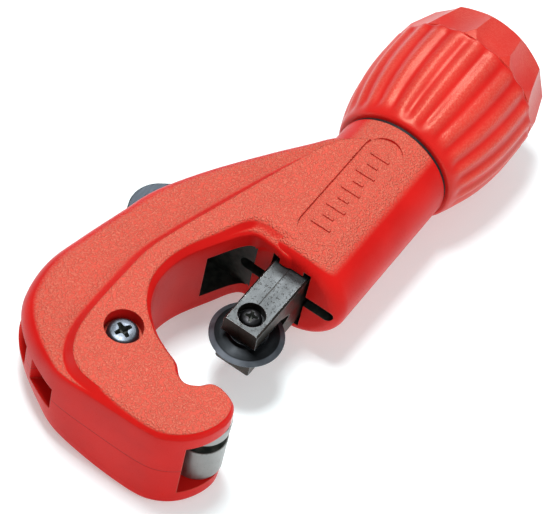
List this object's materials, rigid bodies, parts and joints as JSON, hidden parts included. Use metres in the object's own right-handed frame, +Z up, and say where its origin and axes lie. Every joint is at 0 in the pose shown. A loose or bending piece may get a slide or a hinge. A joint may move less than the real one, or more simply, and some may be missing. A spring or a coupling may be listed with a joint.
{
  "type": "pipe cutter",
  "caption": "Screw-feed tube cutter: C-shaped red frame with guide rollers in the jaw, a sliding carriage with a cutter wheel, a ribbed feed knob and a fold-away deburring blade.",
  "frame": {"origin": "centre of the bounding box in X and Y, at its lowest point: the tool lying on its side", "axes": "+X along the feed screw from the jaw to the knob, +Y from the mouth of the C to its spine, +Z up, square to the plane of the C"},
  "size_m": [0.1624, 0.0709, 0.0444],
  "materials": {
    "red_casting": "glossy powder coat over a fine orange-peel grain",
    "red_moulding": "moulded, grained on the ribs",
    "black_ring": "matt",
    "zinc_steel": "bright zinc plate",
    "ground_steel": "ground flat with fine scratches",
    "black_steel": "blackened and oiled",
    "tool_steel": "hardened, blue-grey",
    "roller_steel": "satin turned",
    "bronze": "plain"
  },
  "bodies": {
    "frame": {"frame": "red_casting", "knob_slide_ring": "black_ring", "thrust_washer": "bronze", "roller_pin_outer": "zinc_steel", "roller_pin_inner": "zinc_steel", "deburrer_screw": "zinc_steel", "deburrer_wave_washer": "bronze", "deburrer_spacer": "zinc_steel", "deburrer_nut": "zinc_steel"},
    "knob": {"knob": "red_moulding", "knob_cap": "red_moulding", "feed_spindle": "black_steel", "outer_washer": "zinc_steel", "retaining_ring": "black_steel", "knob_screw": "zinc_steel", "knob_screw_washer": "zinc_steel", "drive_pin": "zinc_steel"},
    "carriage": {"carriage": "ground_steel", "wheel_axle_screw": "black_steel"},
    "wheel": {"cutter_wheel": "tool_steel"},
    "roller_outer": {"roller_outer": "roller_steel"},
    "roller_inner": {"roller_inner": "roller_steel"},
    "deburrer": {"deburrer_blade": "tool_steel"}
  },
  "joints": [
    {"name": "knob_turn", "type": "hinge", "parent": "frame", "child": "knob", "pos_m": [0.05555, -0.0133, 0.0222], "axis": [1, 0, 0], "range_deg": [-3480, 4440]},
    {"name": "carriage_slide", "type": "slide", "parent": "frame", "child": "carriage", "axis": [1, 0, 0], "range_m": [-0.0145, 0.0185]},
    {"name": "wheel_spin", "type": "hinge", "parent": "carriage", "child": "wheel", "pos_m": [-0.03445, -0.0133, 0.0222], "axis": [0, 0, 1], "continuous": true},
    {"name": "roller_outer_spin", "type": "hinge", "parent": "frame", "child": "roller_outer", "pos_m": [-0.06545, -0.0213, 0.0222], "axis": [0, 0, 1], "continuous": true},
    {"name": "roller_inner_spin", "type": "hinge", "parent": "frame", "child": "roller_inner", "pos_m": [-0.06545, -0.0053, 0.0222], "axis": [0, 0, 1], "continuous": true},
    {"name": "deburrer_swing", "type": "hinge", "parent": "frame", "child": "deburrer", "pos_m": [-0.06145, 0.0067, 0.0222], "axis": [0, 0, 1], "range_deg": [0, 66]}
  ],
  "couplings": [
    {"joint": "carriage_slide", "follows": "knob_turn", "m_per_rad": 0.00023873}
  ]
}
